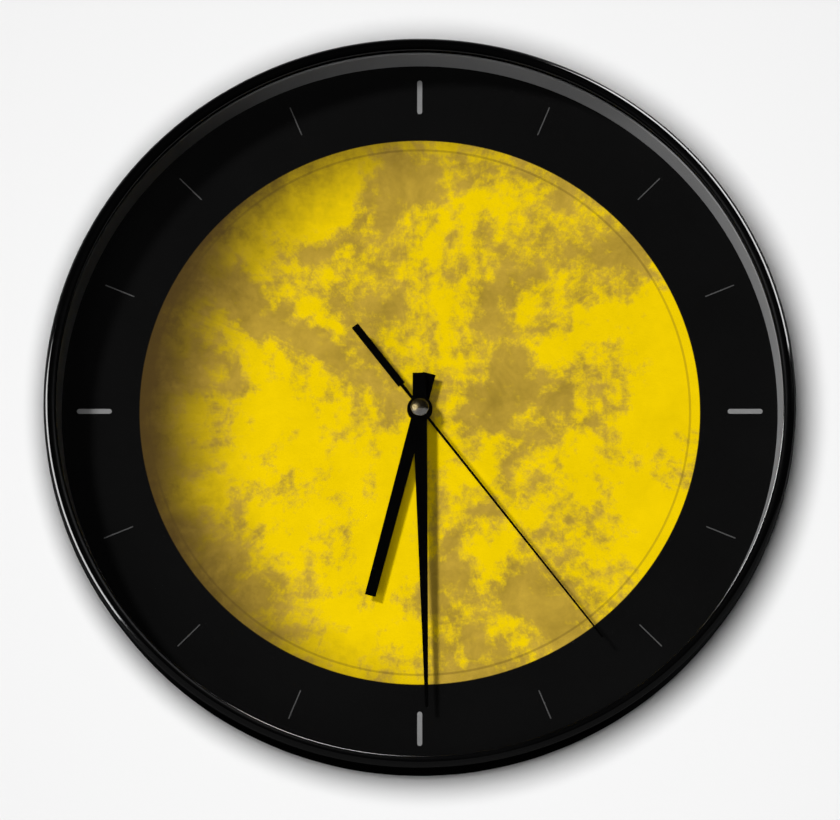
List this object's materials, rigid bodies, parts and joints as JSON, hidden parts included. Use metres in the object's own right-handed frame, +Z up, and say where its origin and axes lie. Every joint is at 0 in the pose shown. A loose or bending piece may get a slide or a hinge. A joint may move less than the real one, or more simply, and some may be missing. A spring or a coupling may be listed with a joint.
{
  "type": "wall clock",
  "caption": "Round quartz wall clock: glossy black ring case, flat glass, printed dial with baton marks, black hands and a geared movement behind, hung by a keyhole bracket.",
  "frame": {"origin": "on the axis of the hands, in the plane of the wall that the back plate's skirt rests on", "axes": "+Z up to twelve o'clock, -Y out of the dial towards the viewer, +X to three o'clock as seen from the front"},
  "size_m": [0.3, 0.045, 0.3],
  "materials": {
    "case_black": "gloss",
    "spacer_black": "satin",
    "lens_glass": "polished",
    "dial_paper": "matte",
    "mark_grey": "matte",
    "hand_black": "satin",
    "cap_steel": "polished",
    "plate_black": "matte",
    "bracket_steel": "satin",
    "screw_steel": "satin",
    "movement_black": "satin",
    "inner_white": "satin",
    "gear_white": "satin",
    "gear_red": "satin",
    "pipe_brass": "satin",
    "cell_jacket": "satin",
    "contact_nickel": "satin",
    "board_green": "satin",
    "chip_black": "matte",
    "crystal_can": "satin",
    "motor_iron": "satin",
    "coil_copper": "gloss",
    "magnet_grey": "matte"
  },
  "bodies": {
    "case": {"case_rim": "case_black", "lens": "lens_glass", "spacer_ring": "spacer_black", "dial_print": "dial_paper", "quarter_batons": "mark_grey", "tick_marks": "mark_grey", "back_plate": "plate_black", "hanger_bracket": "bracket_steel", "hanger_screws": "screw_steel", "movement_base": "movement_black", "mid_plate": "inner_white", "movement_cover": "movement_black", "battery": "cell_jacket", "contact_positive": "contact_nickel", "contact_negative": "contact_nickel", "circuit_board": "board_green", "chip_blob": "chip_black", "quartz_crystal": "crystal_can", "stator": "motor_iron", "coil_core": "motor_iron", "coil_bobbin": "inner_white", "coil_winding": "coil_copper", "motor_screws": "screw_steel"},
    "second": {"second_arbor": "screw_steel", "seconds_wheel": "gear_white", "second_hand": "hand_black", "hand_cap": "cap_steel"},
    "minute": {"minute_pipe": "pipe_brass", "minute_hand": "hand_black"},
    "hour": {"hour_wheel": "pipe_brass", "hour_hand": "hand_black"},
    "setting": {"motion_wheel": "gear_red", "setting_knob": "gear_red"},
    "third": {"third_wheel": "gear_white"},
    "centre": {"centre_wheel": "pipe_brass"},
    "intermediate": {"intermediate_wheel": "gear_white"},
    "rotor": {"rotor_magnet": "magnet_grey", "rotor_pinion": "gear_white"}
  },
  "joints": [
    {"name": "minute_turn", "type": "hinge", "parent": "case", "child": "minute", "pos_m": [0, 0, 0], "axis": [0, 1, 0], "continuous": true},
    {"name": "hour_turn", "type": "hinge", "parent": "case", "child": "hour", "pos_m": [0, 0, 0], "axis": [0, 1, 0], "continuous": true},
    {"name": "setting_turn", "type": "hinge", "parent": "case", "child": "setting", "pos_m": [-0.00888, 0, -0.00156], "axis": [0, 1, 0], "continuous": true},
    {"name": "second_turn", "type": "hinge", "parent": "case", "child": "second", "pos_m": [0, 0, 0], "axis": [0, 1, 0], "continuous": true},
    {"name": "third_turn", "type": "hinge", "parent": "case", "child": "third", "pos_m": [0.00736, 0, 0.00425], "axis": [0, 1, 0], "continuous": true},
    {"name": "centre_turn", "type": "hinge", "parent": "case", "child": "centre", "pos_m": [0, 0, 0], "axis": [0, 1, 0], "continuous": true},
    {"name": "intermediate_turn", "type": "hinge", "parent": "case", "child": "intermediate", "pos_m": [-0.00431, 0, 0.00746], "axis": [0, 1, 0], "continuous": true},
    {"name": "rotor_turn", "type": "hinge", "parent": "case", "child": "rotor", "pos_m": [-0.01054, 0, 0.01106], "axis": [0, 1, 0], "continuous": true}
  ],
  "couplings": [
    {"joint": "hour_turn", "follows": "minute_turn", "ratio": 0.083333},
    {"joint": "setting_turn", "follows": "minute_turn", "ratio": -0.33333},
    {"joint": "third_turn", "follows": "second_turn", "ratio": -0.125},
    {"joint": "centre_turn", "follows": "second_turn", "ratio": 0.016667},
    {"joint": "intermediate_turn", "follows": "second_turn", "ratio": -6},
    {"joint": "rotor_turn", "follows": "second_turn", "ratio": 30}
  ]
}
